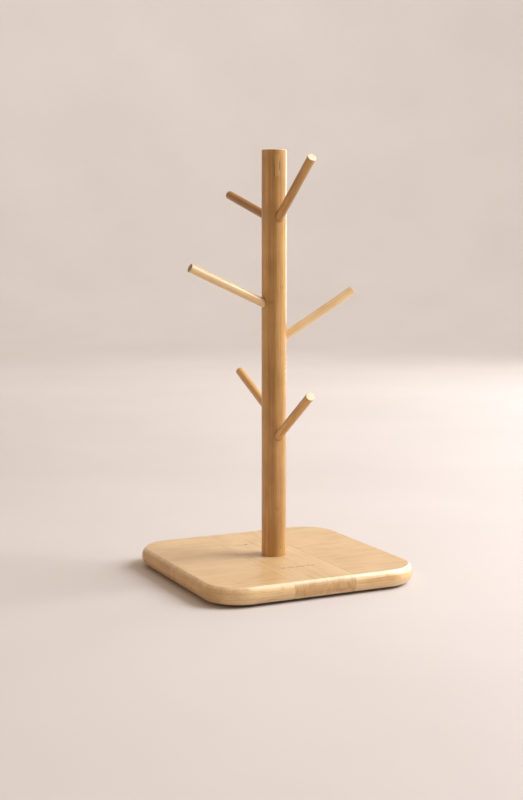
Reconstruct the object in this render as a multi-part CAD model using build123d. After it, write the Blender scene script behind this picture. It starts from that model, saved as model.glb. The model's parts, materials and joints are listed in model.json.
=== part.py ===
from build123d import *
import os

# Mug tree: a round bamboo post on a square bamboo base, with six tilted pegs.
# Millimetres. +Z is up, -Y is the front. The origin is the centre of the base on the resting surface.

# Base
BASE_WIDTH = 180.0
BASE_DEPTH = 180.0
BASE_THICKNESS = 13.5
CORNER_RADIUS = 30.5
EDGE_BULGE = 3.5
EDGE_BREAK = 0.8
CENTRE_BOARD_WIDTH = 52.0
SEAM_GAP = 0.1

# Hidden tongues that join the outer boards to the centre board
TONGUE_REACH = 6.0
TONGUE_THICKNESS = 4.5
TONGUE_END_INSET = 30.0
TONGUE_CLEARANCE = 0.15

# Anti-slip feet
FOOT_DIAMETER = 14.0
FOOT_HEIGHT = 2.0
FOOT_EDGE_BREAK = 0.4
FOOT_INSET = 25.0

# Post
POST_DIAMETER = 20.0
POST_HEIGHT_ABOVE_BASE = 325.0
POST_TOP_EDGE_BREAK = 0.6
POST_FOOT_EDGE_BREAK = 0.5
SOCKET_DEPTH = 4.0
SOCKET_CLEARANCE = 0.1

# Pegs
PEG_DIAMETER = 7.0
PEG_LENGTH = 77.0
PEG_ROOT_OFFSET = 3.0
PEG_ROOT_LENGTH = 14.0
PEG_ROOT_TAPER = 0.2
PEG_EDGE_BREAK = 0.35
PEG_BORE_CLEARANCE = 0.05
PEG_BORE_EXTRA_DEPTH = 0.4

# Each peg's axis crosses the post's axis at a height above the base. Its direction is counted
# anticlockwise from +X, seen from above, and its tilt is counted up from level.
PEGS = {
    "peg_top_front": {"height": 265.0, "direction": 271.0, "tilt": 39.5},
    "peg_top_back": {"height": 270.0, "direction": 93.0, "tilt": 16.0},
    "peg_middle_left": {"height": 200.5, "direction": 181.0, "tilt": 24.0},
    "peg_middle_right": {"height": 172.0, "direction": 355.0, "tilt": 31.5},
    "peg_bottom_back": {"height": 113.5, "direction": 87.0, "tilt": 22.0},
    "peg_bottom_front": {"height": 93.0, "direction": 268.0, "tilt": 33.0},
}

# Countersunk wood screw that holds the post
SCREW_HEAD_DIAMETER = 10.0
SCREW_HEAD_RIM = 0.4
SCREW_HEAD_RECESS = 0.5
SCREW_SHANK_DIAMETER = 3.8
SCREW_THREAD_DIAMETER = 5.0
SCREW_ROOT_DIAMETER = 3.4
SCREW_LENGTH = 40.0
SCREW_THREAD_LENGTH = 26.0
SCREW_TIP_LENGTH = 4.0
SCREW_PITCH = 2.0
SCREW_CLEARANCE = 0.25
PILOT_CLEARANCE = 0.05
CROSS_SLOT_LENGTH = 5.4
CROSS_SLOT_WIDTH = 1.1
CROSS_SLOT_DEPTH = 2.0

# Levels and radii that follow from the sizes above
BASE_BOTTOM = FOOT_HEIGHT
BASE_TOP = BASE_BOTTOM + BASE_THICKNESS
SOCKET_FLOOR = BASE_TOP - SOCKET_DEPTH
POST_RADIUS = POST_DIAMETER / 2
POST_TOP = BASE_TOP + POST_HEIGHT_ABOVE_BASE
PEG_RADIUS = PEG_DIAMETER / 2
PEG_ROOT_END_RADIUS = (PEG_DIAMETER - PEG_ROOT_TAPER) / 2
PEG_FREE_START = PEG_ROOT_OFFSET + PEG_ROOT_LENGTH
SCREW_BOTTOM = BASE_BOTTOM + SCREW_HEAD_RECESS
SCREW_TOP = SCREW_BOTTOM + SCREW_LENGTH
OPEN_END = 1.0


def standing_cylinder(radius, bottom, top):
    """A cylinder on the post's axis, between two levels."""
    return Pos(0, 0, bottom) * extrude(Circle(radius), top - bottom)


def base_slab():
    """The rounded square of the whole base, with sides that bulge in one arc, before it is divided."""
    flat = RectangleRounded(
        BASE_WIDTH - 2 * EDGE_BULGE, BASE_DEPTH - 2 * EDGE_BULGE, CORNER_RADIUS - EDGE_BULGE
    )
    rim = (Pos(0, 0, BASE_BOTTOM) * flat).wire()
    across = Plane(origin=rim @ 0, x_dir=(rim % 0).cross(Vector(0, 0, 1)), z_dir=-(rim % 0))
    side = Line((0, 0), (0, BASE_THICKNESS))
    arc = ThreePointArc((0, BASE_THICKNESS), (EDGE_BULGE, BASE_THICKNESS / 2), (0, 0))
    bulge = sweep(across * make_face([side, arc]), path=rim)
    slab = Pos(0, 0, BASE_BOTTOM) * extrude(flat, BASE_THICKNESS) + bulge
    rims = slab.faces().filter_by(GeomType.PLANE).filter_by(Axis.Z).edges()
    return fillet(rims, EDGE_BREAK)


def tongue(side, clearance):
    """One tongue on the centre board, or its groove when it is given a clearance."""
    reach = TONGUE_REACH + SEAM_GAP + clearance
    root = CENTRE_BOARD_WIDTH / 2 - OPEN_END
    length = BASE_DEPTH - 2 * TONGUE_END_INSET + 2 * clearance
    thickness = TONGUE_THICKNESS + 2 * clearance
    middle = side * (root + (reach + OPEN_END) / 2)
    return Pos(middle, 0, (BASE_BOTTOM + BASE_TOP) / 2) * Box(reach + OPEN_END, length, thickness)


def screw_clearance():
    """The countersunk hole for the screw, open below the base."""
    shank_hole = standing_cylinder(
        SCREW_THREAD_DIAMETER / 2 + SCREW_CLEARANCE, BASE_BOTTOM - OPEN_END, SOCKET_FLOOR + OPEN_END
    )
    head_top = SCREW_BOTTOM + SCREW_HEAD_RIM
    counterbore = standing_cylinder(
        SCREW_HEAD_DIAMETER / 2 + SCREW_CLEARANCE, BASE_BOTTOM - OPEN_END, head_top
    )
    cone_height = (SCREW_HEAD_DIAMETER - SCREW_SHANK_DIAMETER) / 2
    countersink = Pos(0, 0, head_top + cone_height / 2) * Cone(
        SCREW_HEAD_DIAMETER / 2 + SCREW_CLEARANCE, SCREW_SHANK_DIAMETER / 2 + SCREW_CLEARANCE, cone_height
    )
    return shank_hole + counterbore + countersink


def centre_board(slab):
    """The centre board, with a tongue on each side and the socket for the post."""
    board = slab & Pos(0, 0, (BASE_BOTTOM + BASE_TOP) / 2) * Box(
        CENTRE_BOARD_WIDTH, BASE_DEPTH, BASE_THICKNESS
    )
    for side in (-1, 1):
        board += tongue(side, 0)
    socket = standing_cylinder(POST_RADIUS + SOCKET_CLEARANCE, SOCKET_FLOOR, BASE_TOP + OPEN_END)
    return board - socket - screw_clearance()


def outer_board(slab, side):
    """An outer board, grooved for the centre board's tongue."""
    inner = CENTRE_BOARD_WIDTH / 2 + SEAM_GAP
    width = BASE_WIDTH / 2 - inner
    middle = side * (inner + width / 2)
    board = slab & Pos(middle, 0, (BASE_BOTTOM + BASE_TOP) / 2) * Box(width, BASE_DEPTH, BASE_THICKNESS)
    return board - tongue(side, TONGUE_CLEARANCE)


def foot(x_side, y_side):
    """A thin round pad under one corner of the base."""
    x = x_side * (BASE_WIDTH / 2 - FOOT_INSET)
    y = y_side * (BASE_DEPTH / 2 - FOOT_INSET)
    pad = extrude(Circle(FOOT_DIAMETER / 2), FOOT_HEIGHT)
    pad = fillet(pad.edges().sort_by(Axis.Z)[0], FOOT_EDGE_BREAK)
    return Pos(x, y, 0) * pad


def peg_place(peg):
    """Where a peg's own frame lies: its Z runs out along the peg from the post's axis."""
    level = Pos(0, 0, BASE_TOP + peg["height"])
    return level * Rot(0, 0, peg["direction"]) * Rot(0, 90 - peg["tilt"], 0)


def peg_dowel(peg):
    """A round peg with square ends, their edges just broken. Its glued root is sanded to a slight taper."""
    dowel = Pos(0, 0, PEG_ROOT_OFFSET + PEG_ROOT_LENGTH / 2) * Cone(
        PEG_ROOT_END_RADIUS, PEG_RADIUS, PEG_ROOT_LENGTH
    )
    dowel += Pos(0, 0, PEG_FREE_START) * extrude(Circle(PEG_RADIUS), PEG_LENGTH - PEG_ROOT_LENGTH)
    rims = dowel.edges().filter_by(GeomType.CIRCLE).sort_by(Axis.Z)
    dowel = fillet([rims[0], rims[-1]], PEG_EDGE_BREAK)
    return peg_place(peg) * dowel


def peg_bore(peg):
    """The blind hole in the post that the root of a peg is glued into."""
    bottom = PEG_ROOT_OFFSET - PEG_BORE_EXTRA_DEPTH
    bore = Pos(0, 0, bottom) * extrude(Circle(PEG_RADIUS + PEG_BORE_CLEARANCE), POST_DIAMETER)
    return peg_place(peg) * bore


def post():
    """The round post, bored for the pegs and drilled from below for the screw."""
    dowel = standing_cylinder(POST_RADIUS, SOCKET_FLOOR, POST_TOP)
    rims = dowel.edges().filter_by(GeomType.CIRCLE).sort_by(Axis.Z)
    dowel = chamfer(rims[0], POST_FOOT_EDGE_BREAK)
    top_rim = dowel.edges().filter_by(GeomType.CIRCLE).sort_by(Axis.Z)[-1]
    dowel = fillet(top_rim, POST_TOP_EDGE_BREAK)
    for peg in PEGS.values():
        dowel -= peg_bore(peg)
    pilot = standing_cylinder(
        SCREW_THREAD_DIAMETER / 2 + PILOT_CLEARANCE, SOCKET_FLOOR - OPEN_END, SCREW_TOP + OPEN_END
    )
    return dowel - pilot


def screw_outline():
    """Half of the screw's section, from the centre of the head to the tip."""
    head_radius = SCREW_HEAD_DIAMETER / 2
    shank_radius = SCREW_SHANK_DIAMETER / 2
    rim_top = SCREW_BOTTOM + SCREW_HEAD_RIM
    points = [
        (0, SCREW_BOTTOM),
        (head_radius, SCREW_BOTTOM),
        (head_radius, rim_top),
        (shank_radius, rim_top + head_radius - shank_radius),
    ]
    thread_start = SCREW_TOP - SCREW_THREAD_LENGTH
    points.append((shank_radius, thread_start))
    turns = int((SCREW_THREAD_LENGTH - SCREW_TIP_LENGTH) / SCREW_PITCH)
    for turn in range(turns):
        start = thread_start + turn * SCREW_PITCH
        points.append((SCREW_ROOT_DIAMETER / 2, start + SCREW_PITCH / 4))
        points.append((SCREW_THREAD_DIAMETER / 2, start + SCREW_PITCH / 2))
        points.append((SCREW_ROOT_DIAMETER / 2, start + SCREW_PITCH * 3 / 4))
    points.append((SCREW_ROOT_DIAMETER / 2, SCREW_TOP - SCREW_TIP_LENGTH))
    points.append((0, SCREW_TOP))
    return [(radius, 0, level) for radius, level in points]


def post_screw():
    """A countersunk wood screw with a cross recess, its thread drawn as rings."""
    outline = Polyline(*screw_outline(), close=True)
    body = revolve(make_face(outline), Axis.Z)
    recess = Pos(0, 0, SCREW_BOTTOM + CROSS_SLOT_DEPTH / 2 - OPEN_END / 2)
    slot_height = CROSS_SLOT_DEPTH + OPEN_END
    body -= recess * Box(CROSS_SLOT_LENGTH, CROSS_SLOT_WIDTH, slot_height)
    body -= recess * Box(CROSS_SLOT_WIDTH, CROSS_SLOT_LENGTH, slot_height)
    return body


def build_nodes():
    """Every piece of the mug tree, by name."""
    slab = base_slab()
    nodes = {
        "base_left_board": outer_board(slab, -1),
        "base_centre_board": centre_board(slab),
        "base_right_board": outer_board(slab, 1),
        "post": post(),
        "post_screw": post_screw(),
    }
    for name, peg in PEGS.items():
        nodes[name] = peg_dowel(peg)
    for y_name, y_side in (("front", -1), ("back", 1)):
        for x_name, x_side in (("left", -1), ("right", 1)):
            nodes[f"foot_{y_name}_{x_name}"] = foot(x_side, y_side)
    return nodes


os.makedirs("parts", exist_ok=True)
for node_name, solid in build_nodes().items():
    export_step(solid, f"parts/{node_name}.step")
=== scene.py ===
"""The looks of the bamboo mug tree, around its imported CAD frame. Materials are laid out in millimetres."""
import json
import math

import bmesh
import bpy
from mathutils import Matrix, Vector


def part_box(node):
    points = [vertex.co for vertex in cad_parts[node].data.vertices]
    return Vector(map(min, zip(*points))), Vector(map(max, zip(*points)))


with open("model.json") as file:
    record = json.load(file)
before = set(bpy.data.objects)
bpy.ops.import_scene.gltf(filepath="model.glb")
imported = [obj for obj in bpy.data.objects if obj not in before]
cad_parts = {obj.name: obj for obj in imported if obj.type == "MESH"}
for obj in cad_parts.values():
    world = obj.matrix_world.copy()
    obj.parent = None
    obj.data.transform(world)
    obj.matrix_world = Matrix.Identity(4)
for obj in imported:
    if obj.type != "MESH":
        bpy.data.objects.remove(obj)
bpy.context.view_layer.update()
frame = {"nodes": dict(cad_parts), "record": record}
MM = 1000.0
X_AXIS = Vector((1, 0, 0))
Y_AXIS = Vector((0, 1, 0))
Z_AXIS = Vector((0, 0, 1))


# ---------------------------------------------------------------- places that come from the frame
BASE_LOW, BASE_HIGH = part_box("base_centre_board")
POST_LOW, POST_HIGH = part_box("post")
BASE_BOTTOM = BASE_LOW.z * MM
BASE_THICKNESS = (BASE_HIGH.z - BASE_LOW.z) * MM
BASE_HALF_DEPTH = BASE_HIGH.y * MM
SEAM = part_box("base_right_board")[0].x * MM
POST_RADIUS = POST_HIGH.x * MM
POST_TOP = POST_HIGH.z * MM
PEG_NODES = [name for name in frame["nodes"] if name.startswith("peg_")]
PEG_RADIUS = next(m["dims"]["r_mm"] for m in frame["record"]["mounts"] if m["kind"] == "pin")

# ---------------------------------------------------------------- camera, as azimuths seen from above
CAMERA_DISTANCE = 1.0676
CAMERA_HEIGHT = 0.2683
CAMERA_AZIMUTH = math.radians(-26.23)
CAMERA_PAN = math.radians(0.54)
CAMERA_TILT = math.radians(-6.74)
CAMERA_LENS = 60.1
CAMERA_SENSOR = 36.0
CAMERA_CLIP = (0.05, 50.0)

# ---------------------------------------------------------------- bamboo colours, linear
BOARD_COLOURS = {
    "light": (0.88, 0.665, 0.385),
    "middle": (0.74, 0.515, 0.27),
    "dark": (0.48, 0.28, 0.115),
    "cut": (0.66, 0.415, 0.19),
    "pore": (0.40, 0.205, 0.075),
    # the side tint is painted shade: warmer, darker sides
    "side": (1.0, 0.95, 0.86),
}
DOWEL_COLOURS = {
    "light": (0.75, 0.455, 0.18),
    "middle": (0.59, 0.322, 0.094),
    "dark": (0.35, 0.163, 0.040),
    "cut": (0.94, 0.81, 0.58),
    "pore": (0.82, 0.62, 0.38),
    "side": (1.0, 1.0, 1.0),
}
PALE_COLOURS = {
    **DOWEL_COLOURS,
    "light": (0.90, 0.68, 0.40),
    "middle": (0.79, 0.54, 0.265),
    "dark": (0.54, 0.31, 0.12),
}
# darker cut ends, painted shade for the peg ends that face away from the light
PAINTED_SHADE_END = {"cut": (0.30, 0.18, 0.09), "pore": (0.13, 0.065, 0.03)}
# paler edges: rubbed wear and a painted highlight; also the pale line beside the centre board's seam
PALE_EDGE_AND_PAINTED_HIGHLIGHT = (0.91, 0.73, 0.49)
# dark splits and node flecks, and the painted shade round the pegs' joints
DARK_MARK_AND_PAINTED_SHADE = (0.17, 0.08, 0.028)
RED_STRIP = (1.0, 0.86, 0.70)

# ---------------------------------------------------------------- feet, screw and stage, colours linear
RUBBER = ((0.035, 0.028, 0.022), (0.075, 0.062, 0.050))
DUST = (0.26, 0.23, 0.20)
ZINC = ((0.50, 0.49, 0.46), (0.72, 0.71, 0.68))
WORN_ZINC = (0.33, 0.31, 0.28)
# the screw wears between these distances from its axis, in millimetres
SCREW_RIM = (4.4, 4.95)
FLOOR = ((0.60, 0.548, 0.525), (0.675, 0.62, 0.597))
AMBIENT = (1.0, 0.63, 0.32)
AMBIENT_STRENGTH = 0.23

# ---------------------------------------------------------------- bamboo structure, in millimetres
STRIPS_PER_BOARD = 3
LAYERS_PER_BOARD = 3
DOWEL_STRIP = 4.6
PEG_STRIP = 3.4
NODE_SPACING = 210.0
BUMP_DEPTH = 0.05
GLUE_REACH = 0.30
RING_HALF_WIDTH = 2.4
RING_WOBBLE = 3.0
POST_TURN = math.radians(-26)
# the paler strip on the post: its middle and half width across, its start and end below the top
PATCH_MIDDLE = 2.0
PATCH_HALF_WIDTH = 2.0
PATCH_START = 4.5
PATCH_END = 21.0
# how far the painted shade round a peg's joint, partly a dark glue line, reaches beyond the peg
JOINT_SHADE = 0.8
# rows of flecks on the centre board: the place along it, then the start and the end across it
NODE_ROWS = ((41.5, 12.0, 27.0), (-46.0, 9.0, 39.0))

# ---------------------------------------------------------------- how strong each part of the look is
SHADES = {"chance": 0.16, "broad": 0.7, "streak": 1.0, "fine": 0.7, "mottle": 1.0}
RED_SHARE = 0.28
FLECK_SHARE = 0.30
RING_SHARE = 0.45
END_SHARE = 0.85
EDGE_WEAR_AND_HIGHLIGHT_SHARE = 0.60
GLUE_SHARE = 0.38
WOOD_ROUGHNESS = 0.38
VARNISH = 0.45
VARNISH_ROUGHNESS = 0.4

# the colours and the tone of each peg: a higher tone is paler; the ends of the top-back and middle-left pegs
# get painted shade
PEG_LOOKS = {
    "peg_top_front": (DOWEL_COLOURS, 0.22),
    "peg_top_back": ({**DOWEL_COLOURS, **PAINTED_SHADE_END}, 0.08),
    "peg_middle_left": ({**PALE_COLOURS, **PAINTED_SHADE_END}, 0.62),
    "peg_middle_right": (PALE_COLOURS, 0.50),
    "peg_bottom_back": (DOWEL_COLOURS, 0.60),
    "peg_bottom_front": (DOWEL_COLOURS, 0.40),
}


class Field:
    """A number, colour or vector that varies over a surface: one output of a material's nodes."""

    def __init__(self, graph, socket):
        self.graph = graph
        self.socket = socket

    def __add__(self, other):
        return self.graph.math("ADD", self, other)

    def __radd__(self, other):
        return self.graph.math("ADD", other, self)

    def __sub__(self, other):
        return self.graph.math("SUBTRACT", self, other)

    def __rsub__(self, other):
        return self.graph.math("SUBTRACT", other, self)

    def __mul__(self, other):
        return self.graph.math("MULTIPLY", self, other)

    def __truediv__(self, other):
        return self.graph.math("DIVIDE", self, other)

    def size(self):
        return self.graph.math("ABSOLUTE", self)

    def floor(self):
        return self.graph.math("FLOOR", self)

    def rise(self, start, end):
        """0 before start, 1 after end, smooth between. The start may be the higher one."""
        return self.graph.rise(self, start, end)


class Graph:
    """One material and the nodes in it."""

    def __init__(self, name):
        self.material = bpy.data.materials.new(name)
        self.material.use_nodes = True
        self.nodes = self.material.node_tree.nodes
        self.links = self.material.node_tree.links
        self.nodes.clear()

    def add(self, kind, inputs, output=0, **settings):
        """A new node with these inputs, each a constant or a Field. Gives its output as a Field."""
        node = self.nodes.new("ShaderNode" + kind)
        for key, value in settings.items():
            setattr(node, key, value)
        for key, value in inputs.items():
            if isinstance(value, Field):
                self.links.new(value.socket, node.inputs[key])
            else:
                node.inputs[key].default_value = value
        return Field(self, node.outputs[output])

    def math(self, operation, first, second=None):
        inputs = {0: first} if second is None else {0: first, 1: second}
        return self.add("Math", inputs, operation=operation)

    def rise(self, value, start, end):
        low, high = (0.0, 1.0) if start < end else (1.0, 0.0)
        ends = {"From Min": min(start, end), "From Max": max(start, end), "To Min": low, "To Max": high}
        return self.add("MapRange", {"Value": value, **ends}, interpolation_type="SMOOTHSTEP")

    def position(self):
        """The surface point in millimetres, in the object's frame."""
        return self.scaled(self.add("TexCoord", {}, output="Object"), MM)

    def scaled(self, vector, factor):
        return self.add("VectorMath", {0: vector, "Scale": factor}, operation="SCALE")

    def normal(self):
        return self.add("TexCoord", {}, output="Normal")

    def along(self, vector, direction):
        """How far a vector reaches along a fixed direction."""
        ends = {0: vector, 1: tuple(direction)}
        return self.add("VectorMath", ends, output="Value", operation="DOT_PRODUCT")

    def combine(self, x, y, z):
        return self.add("CombineXYZ", {0: x, 1: y, 2: z})

    def noise(self, vector, detail=2.0, roughness=0.5):
        """Noise between 0 and 1 on coordinates that are already scaled."""
        settings = {"Detail": detail, "Roughness": roughness}
        return self.add("TexNoise", {"Vector": vector, "Scale": 1.0, **settings})

    def cells(self, vector):
        """The distance to the nearest of scattered points."""
        return self.add("TexVoronoi", {"Vector": vector, "Scale": 1.0}, output="Distance")

    def random(self, x, y, z):
        """One random number for each whole x, y and z."""
        return self.add("TexWhiteNoise", {"Vector": self.combine(x, y, z)}, output="Value")

    def mix(self, share, first, second, blend="MIX"):
        """Two colours mixed: an RGB triple or a Field each."""
        colours = [c if isinstance(c, Field) else (*c, 1.0) for c in (first, second)]
        return self.add(
            "Mix", {0: share, 6: colours[0], 7: colours[1]}, output=2, data_type="RGBA", blend_type=blend
        )

    def finish(self, height, depth, **shader):
        """The shader and its bump. The height runs from 0 to 1 and stands for a depth in millimetres."""
        bump = self.add("Bump", {"Strength": 1.0, "Distance": depth / MM, "Height": height})
        inputs = {key.replace("_", " "): value for key, value in shader.items()}
        surface = self.add("BsdfPrincipled", {"Normal": bump, **inputs})
        output = self.nodes.new("ShaderNodeOutputMaterial")
        self.links.new(surface.socket, output.inputs["Surface"])
        return self.material


def node_rings(graph, v, wobble, chance):
    """Where a strip is crossed by one of the bamboo's nodes: 1 in the ring, 0 away from it."""
    turns = (v + wobble * RING_WOBBLE) / NODE_SPACING + chance
    away = (turns - turns.floor() - 0.5).size() * NODE_SPACING
    return away.rise(RING_HALF_WIDTH, 0.4)


def bamboo(
    name, seed, *, grain, across, strip, layer, start, edge_axis, cut_grain, colours, tone, contrast,
    marks=None,
):
    """
    Laminated bamboo. The fibres run along grain. Strips, so wide and so deep, lie side by side along
    across from start, and are stacked in layers. Where the surface turns away from edge_axis, the edges
    are rubbed paler with a painted highlight, and the sides get a painted shade. cut_grain is how fast the
    cut ends change across the strips and through the layers.
    Marks adds what one piece alone has.
    """
    graph = Graph(name)
    point = graph.add("VectorMath", {0: graph.position(), 1: tuple(start)}, operation="SUBTRACT")
    normal = graph.normal()
    u = graph.along(point, across)
    v = graph.along(point, grain)
    w = graph.along(point, grain.cross(across).normalized())

    shifted = u / strip
    stacked = w / layer
    chance = graph.random(shifted.floor(), stacked.floor(), seed)
    other_chance = graph.random(shifted.floor(), stacked.floor(), seed + 0.5)
    drift = chance * 700

    # streaks of fibres, from broad to fine, each longer than it is wide
    broad = graph.noise(graph.combine(u * 0.16, v * 0.006 + drift, w * 0.16), detail=2.0)
    streak = graph.noise(graph.combine(u * 0.62 + drift, v * 0.018, w * 0.62), detail=3.0, roughness=0.6)
    fine = graph.noise(graph.combine(u * 2.6, v * 0.05 + drift, w * 2.6), detail=3.0, roughness=0.65)
    fleck = graph.noise(graph.combine(u * 3.4, v * 0.16, w * 3.4 + drift), detail=1.0).rise(0.60, 0.74)
    mottle = graph.noise(graph.combine(u * 0.07, v * 0.035, w * 0.07), detail=3.0)

    shade = (
        tone
        + (chance - 0.5) * (SHADES["chance"] * contrast)
        + (broad - 0.5) * (SHADES["broad"] * contrast)
        + (streak - 0.5) * (SHADES["streak"] * contrast)
        + (fine - 0.5) * (SHADES["fine"] * contrast)
        + (mottle - 0.5) * (SHADES["mottle"] * contrast)
    )
    colour = graph.mix(shade.rise(-0.1, 0.55), colours["dark"], colours["middle"])
    colour = graph.mix(shade.rise(0.25, 1.0), colour, colours["light"])
    colour = graph.mix(other_chance * (RED_SHARE * contrast), colour, RED_STRIP, blend="MULTIPLY")
    colour = graph.mix(fleck * (FLECK_SHARE * contrast), colour, colours["dark"])

    # the nodes of the bamboo cross each strip in a faint broken ring
    broken = graph.noise(graph.combine(u * 1.1, v * 0.25, w * 1.1 + drift), detail=2.0)
    ring = node_rings(graph, v, broken, other_chance) * broken.rise(0.38, 0.62)
    colour = graph.mix(ring * RING_SHARE, colour, colours["dark"])

    # the ends of the fibres: dots of their bundles, in columns and patches
    end = graph.along(normal, grain).size().rise(0.55, 0.92)
    dots = graph.cells(graph.combine(u * 1.25, w * 1.25, chance * 9)).rise(0.45, 0.15)
    columns = graph.noise(
        graph.combine(u * cut_grain[0], chance * 9, w * cut_grain[1]), detail=3.0, roughness=0.6
    )
    patches = graph.noise(graph.combine(u * 0.09, v * 0.09, w * 0.05), detail=2.0).rise(0.40, 0.62)
    cut = graph.mix(columns.rise(0.60, 0.38) * (patches * 0.55 + 0.08), colours["cut"], colours["pore"])
    cut = graph.mix(dots * (patches * 0.35 + 0.1), cut, colours["pore"])
    colour = graph.mix(end * END_SHARE, colour, cut)

    # the sides get a warmer, darker tint, a painted shade; handling rubs the edges paler and smoother, and
    # their paleness is partly a painted highlight
    toward = graph.along(normal, edge_axis).size()
    colour = graph.mix(toward.rise(0.6, 0.2), colour, graph.mix(1.0, colour, colours["side"], "MULTIPLY"))
    edge = toward.rise(0.50, 0.72) * toward.rise(0.995, 0.93)
    edge_wear_and_highlight = edge * graph.noise(graph.combine(u * 0.12, v * 0.12, w * 0.12), detail=4.0).rise(0.25, 0.6)
    colour = graph.mix(edge_wear_and_highlight * EDGE_WEAR_AND_HIGHLIGHT_SHARE, colour, PALE_EDGE_AND_PAINTED_HIGHLIGHT)

    # thin glue lines between the strips and between the layers
    side_line = (shifted - shifted.floor() - 0.5).size().rise(0.5 - GLUE_REACH / strip, 0.5)
    layer_line = (stacked - stacked.floor() - 0.5).size().rise(0.5 - GLUE_REACH / layer, 0.5)
    glue = graph.math("MAXIMUM", side_line, layer_line)
    colour = graph.mix(glue * (GLUE_SHARE * contrast), colour, colours["dark"])

    height = fine * 0.5 + streak * 0.35 - fleck * 0.25 - dots * end * 0.6 - glue * 0.3 + ring * 0.3
    roughness = WOOD_ROUGHNESS + (fine - 0.5) * 0.22 + end * 0.16 - edge_wear_and_highlight * 0.08 + fleck * 0.1
    if marks:
        colour, height = marks(graph, colour, height, u, v, w)
    return graph.finish(
        height, BUMP_DEPTH, Base_Color=colour, Roughness=roughness, Coat_Weight=VARNISH,
        Coat_Roughness=VARNISH_ROUGHNESS,
    )


def fine_split(graph, away, reach, first, last):
    """A short dark split: near a line, and only between two distances along it."""
    return away.rise(0.5, 0.15) * reach.rise(first - 1.5, first + 1.5) * reach.rise(last + 0.5, last - 0.5)


def post_marks(graph, colour, height, u, v, w):
    """A paler strip under the post's top with a split along each side, and painted shade round the pegs'
    joints, partly a dark glue line.
    """
    below = POST_TOP - v
    waver = (graph.noise(graph.combine(u * 0.4, v * 0.15, w * 0.4)) - 0.5) * 1.2
    place = u + waver
    front = w.rise(1.0, -1.0)
    slant = below + place * 0.35
    patch = (place - PATCH_MIDDLE).size().rise(PATCH_HALF_WIDTH + 0.4, PATCH_HALF_WIDTH - 0.2)
    patch = patch * below.rise(PATCH_START - 1, PATCH_START + 1)
    patch = patch * slant.rise(PATCH_END + 1, PATCH_END) * front
    colour = graph.mix(patch * 0.35, colour, DOWEL_COLOURS["light"])
    for side, first, last in ((-1, 10.5, PATCH_END), (1, 9.5, 16.5)):
        away = (place - PATCH_MIDDLE - side * PATCH_HALF_WIDTH).size()
        split = fine_split(graph, away, below, first, last) * front
        colour = graph.mix(split * 0.75, colour, DARK_MARK_AND_PAINTED_SHADE)
        height = height - split * 1.5

    # painted shade in the gap round each peg's root, partly a dark glue line
    for node in PEG_NODES:
        axis, middle = peg_axis(node)
        root = middle - axis * (middle.xy.length / axis.xy.length)
        offset = graph.add("VectorMath", {0: graph.position(), 1: tuple(root)}, operation="SUBTRACT")
        turned = graph.add("VectorMath", {0: offset, 1: tuple(axis)}, operation="CROSS_PRODUCT")
        away = graph.add("VectorMath", {0: turned}, output="Value", operation="LENGTH")
        joint_painted_shade = away.rise(PEG_RADIUS + JOINT_SHADE, PEG_RADIUS) * graph.along(offset, axis).rise(0.0, 3.0)
        colour = graph.mix(joint_painted_shade * 0.6, colour, DARK_MARK_AND_PAINTED_SHADE)
    return colour, height


def centre_marks(graph, colour, height, u, v, w):
    """Fine dark flecks where the bamboo's nodes cross the centre board, and a dark line of painted shade on
    its right seam, with a paler line beside it.
    """
    top = graph.along(graph.normal(), Z_AXIS).rise(0.85, 0.97)
    for row, first, last in NODE_ROWS:
        sway = (graph.noise(graph.combine(u * 0.09, row, 0.0)) - 0.5) * 5.0
        band = (v - row - sway).size().rise(2.4, 1.2) * u.rise(first - 2, first + 2)
        flecks = graph.noise(graph.combine(u * 0.9, v * 0.28, row), detail=2.0).rise(0.47, 0.56)
        mark = band * flecks * top * u.rise(last + 2, last - 2)
        colour = graph.mix(mark * 0.8, colour, DARK_MARK_AND_PAINTED_SHADE)
        height = height - mark * 0.8
    # the right seam: a dark line of painted shade, and a paler line beside it
    inside = 2 * SEAM - u
    colour = graph.mix(inside.rise(1.1, 0.5) * top * 0.45, colour, BOARD_COLOURS["dark"])
    colour = graph.mix((inside - 1.9).size().rise(0.8, 0.3) * top * 0.3, colour, PALE_EDGE_AND_PAINTED_HIGHLIGHT)
    return colour, height


def rubber():
    """Dark matte rubber for the feet, with a fine moulded grain and dust on the flat faces."""
    graph = Graph("foot_rubber")
    point = graph.position()
    grain = graph.noise(graph.scaled(point, 3.0), detail=4.0)
    patches = graph.noise(graph.scaled(point, 0.25), detail=3.0)
    colour = graph.mix(patches, *RUBBER)
    dust = graph.along(graph.normal(), Z_AXIS).size().rise(0.2, 0.7) * patches
    colour = graph.mix(dust * 0.35, colour, DUST)
    return graph.finish(grain, 0.08, Base_Color=colour, Roughness=0.72 + grain * 0.2)


def zinc():
    """Zinc-plated steel for the screw, with turned rings, cloudy plating and darker worn rims."""
    graph = Graph("screw_zinc")
    point = graph.position()
    flat = graph.add("VectorMath", {0: point, 1: (1, 1, 0)}, operation="MULTIPLY")
    radius = graph.add("VectorMath", {0: flat}, output="Value", operation="LENGTH")
    height = graph.along(point, Z_AXIS)
    rings = graph.noise(graph.combine(radius * 6.0, height * 4.0, 0.0), detail=2.0)
    cloud = graph.noise(graph.scaled(point, 0.7), detail=3.0)
    colour = graph.mix(cloud, *ZINC)
    rim = radius.rise(*SCREW_RIM)
    colour = graph.mix(rim * cloud, colour, WORN_ZINC)
    return graph.finish(rings, 0.03, Base_Color=colour, Metallic=1.0, Roughness=0.26 + cloud * 0.2)


def dress(node, material):
    """Gives a CAD node its finished material."""
    part = frame["nodes"][node]
    for slot in part.material_slots:
        slot.material = material


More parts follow.
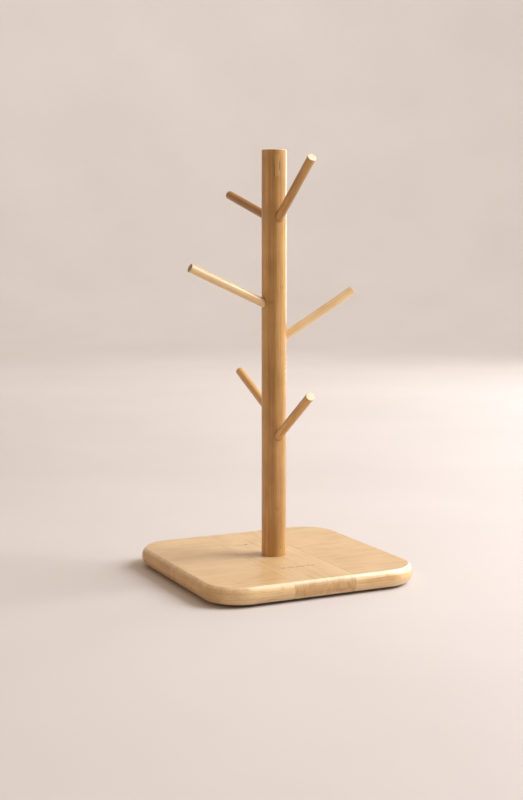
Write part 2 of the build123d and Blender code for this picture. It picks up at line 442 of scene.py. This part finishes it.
def peg_axis(node):
    """The outward axis of a peg and a point on it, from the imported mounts."""
    name = node.replace("peg_", "") + "_peg"
    mount = next(m for m in frame["record"]["mounts"] if m["name"] == name)
    return Vector(mount["axis"]).normalized(), Vector(mount["pos_m"]) * MM


def dress_boards():
    """The outer boards' fibres run left to right, and the centre board's run front to back."""
    strip = 2 * SEAM / STRIPS_PER_BOARD
    shared = {
        "strip": strip,
        "layer": BASE_THICKNESS / LAYERS_PER_BOARD,
        "edge_axis": Z_AXIS,
        "colours": BOARD_COLOURS,
    }
    for node, seed in (("base_left_board", 11), ("base_right_board", 29)):
        dress(node, bamboo(
            node, seed, grain=X_AXIS, across=Y_AXIS, start=(0, BASE_HALF_DEPTH + strip / 2, BASE_BOTTOM),
            cut_grain=(0.03, 0.7), tone=0.62, contrast=1.3, **shared,
        ))
    dress("base_centre_board", bamboo(
        "base_centre_board", 5, grain=Y_AXIS, across=X_AXIS, start=(-SEAM, 0, BASE_BOTTOM),
        cut_grain=(0.55, 0.12), tone=0.6, contrast=1.2, marks=centre_marks, **shared,
    ))


def dress_dowels():
    """The post's strips lie across the camera's view, and each peg's strips lie level."""
    facing = Vector((math.cos(POST_TURN), math.sin(POST_TURN), 0))
    dress("post", bamboo(
        "post", 47, grain=Z_AXIS, across=facing, strip=DOWEL_STRIP, layer=POST_RADIUS, start=(0, 0, 0),
        edge_axis=Z_AXIS, cut_grain=(0.5, 0.5), colours=DOWEL_COLOURS, tone=0.38, contrast=0.6,
        marks=post_marks,
    ))
    for count, node in enumerate(PEG_NODES):
        axis, middle = peg_axis(node)
        side = axis.cross(Z_AXIS).normalized()
        start = middle - (side * PEG_STRIP + axis.cross(side) * POST_RADIUS) / 2
        colours, tone = PEG_LOOKS[node]
        dress(node, bamboo(
            node, 60 + count * 7, grain=axis, across=side, strip=PEG_STRIP, layer=POST_RADIUS,
            start=start, edge_axis=axis, cut_grain=(0.4, 0.4), colours=colours, tone=tone, contrast=0.65,
        ))


def dress_all():
    """Every CAD node gets its material."""
    dress_boards()
    dress_dowels()
    dress("post_screw", zinc())
    for node in frame["nodes"]:
        if node.startswith("foot_"):
            dress(node, rubber())


# ---------------------------------------------------------------- stage, lights and camera
FLOOR_RADIUS = 2.2
COVE_RADIUS = 1.0
WALL_TOP = 2.2
LIGHT_AIM = Vector((0, 0, 0.12))
BACKDROP_AIM = Vector((1.4, 2.9, 0.7))
RING_STEPS = 96
COVE_STEPS = 16


def sweep_stage():
    """A round studio cove: floor, curved foot and wall, in one sheet."""
    profile = [(0.0, 0.0), (0.5, 0.0), (FLOOR_RADIUS, 0.0)]
    for step in range(1, COVE_STEPS + 1):
        angle = math.pi / 2 * step / COVE_STEPS
        profile.append(
            (FLOOR_RADIUS + COVE_RADIUS * math.sin(angle), COVE_RADIUS * (1 - math.cos(angle)))
        )
    profile.append((FLOOR_RADIUS + COVE_RADIUS, WALL_TOP))
    mesh = bmesh.new()
    centre = mesh.verts.new((0, 0, 0))
    rings = []
    for radius, level in profile[1:]:
        ring = []
        for step in range(RING_STEPS):
            angle = 2 * math.pi * step / RING_STEPS
            ring.append(mesh.verts.new((radius * math.cos(angle), radius * math.sin(angle), level)))
        rings.append(ring)
    for step in range(RING_STEPS):
        after = (step + 1) % RING_STEPS
        mesh.faces.new((centre, rings[0][step], rings[0][after]))
        for inner, outer in zip(rings, rings[1:]):
            mesh.faces.new((inner[step], outer[step], outer[after], inner[after]))
    data = bpy.data.meshes.new("studio_cove")
    mesh.to_mesh(data)
    mesh.free()
    data.shade_smooth()
    cove = bpy.data.objects.new("studio_cove", data)
    bpy.context.scene.collection.objects.link(cove)
    graph = Graph("studio_cove")
    cloud = graph.noise(graph.scaled(graph.position(), 0.004), detail=3.0)
    colour = graph.mix(cloud, *FLOOR)
    roughness = 0.55 + cloud * 0.1
    data.materials.append(
        graph.finish(cloud, 0.1, Base_Color=colour, Roughness=roughness, Specular_IOR_Level=0.2)
    )


def look(thing, place, target):
    """Puts a lamp somewhere and turns it to a target."""
    thing.location = place
    thing.rotation_mode = "QUATERNION"
    thing.rotation_quaternion = (target - place).to_track_quat("-Z", "Y")


def softbox(name, azimuth, elevation, distance, width, height, power, colour, aim=LIGHT_AIM):
    """A rectangular area light round the tree, at an azimuth counted as the camera's."""
    light = bpy.data.lights.new(name, "AREA")
    light.shape = "RECTANGLE"
    light.size = width
    light.size_y = height
    light.energy = power
    light.color = colour
    lamp = bpy.data.objects.new(name, light)
    bpy.context.scene.collection.objects.link(lamp)
    a, e = math.radians(azimuth), math.radians(elevation)
    place = Vector((math.sin(a) * math.cos(e), -math.cos(a) * math.cos(e), math.sin(e))) * distance
    lamp.visible_camera = False
    look(lamp, place, aim)


def light_all():
    """A window to the right and one behind it, soft fill from the left and above, and a lit backdrop."""
    softbox(
        "key_window", azimuth=70, elevation=40, distance=2.0, width=1.2, height=1.2, power=59,
        colour=(0.93, 0.97, 1.0),
    )
    softbox(
        "rim_window", azimuth=116, elevation=13, distance=2.0, width=0.5, height=0.8, power=9,
        colour=(0.90, 0.96, 1.0),
    )
    softbox(
        "left_fill", azimuth=-106, elevation=20, distance=2.2, width=1.0, height=1.0, power=4.0,
        colour=(1.0, 0.80, 0.58),
    )
    softbox(
        "top_fill", azimuth=150, elevation=80, distance=2.2, width=1.6, height=1.6, power=12,
        colour=(1.0, 0.94, 0.87),
    )
    softbox(
        "backdrop_light", azimuth=154, elevation=50, distance=2.2, width=2.4, height=0.8, power=25,
        colour=(0.98, 1.0, 0.98), aim=BACKDROP_AIM,
    )
    world = bpy.data.worlds.new("studio")
    bpy.context.scene.world = world
    world.use_nodes = True
    background = world.node_tree.nodes["Background"]
    background.inputs["Color"].default_value = (*AMBIENT, 1.0)
    background.inputs["Strength"].default_value = AMBIENT_STRENGTH


def camera():
    """The camera looks slightly down on the tree from the front left."""
    data = bpy.data.cameras.new("camera")
    data.lens = CAMERA_LENS
    data.sensor_width = CAMERA_SENSOR
    data.sensor_fit = "AUTO"
    data.clip_start, data.clip_end = CAMERA_CLIP
    made = bpy.data.objects.new("camera", data)
    bpy.context.scene.collection.objects.link(made)
    heading = CAMERA_AZIMUTH + CAMERA_PAN
    across = CAMERA_DISTANCE * math.sin(CAMERA_AZIMUTH)
    back = CAMERA_DISTANCE * math.cos(CAMERA_AZIMUTH)
    made.location = (across, -back, CAMERA_HEIGHT)
    made.rotation_euler = (math.pi / 2 + CAMERA_TILT, 0, heading)
    bpy.context.scene.camera = made


camera()
dress_all()
sweep_stage()
light_all()
bpy.context.scene.view_settings.view_transform = "Standard"
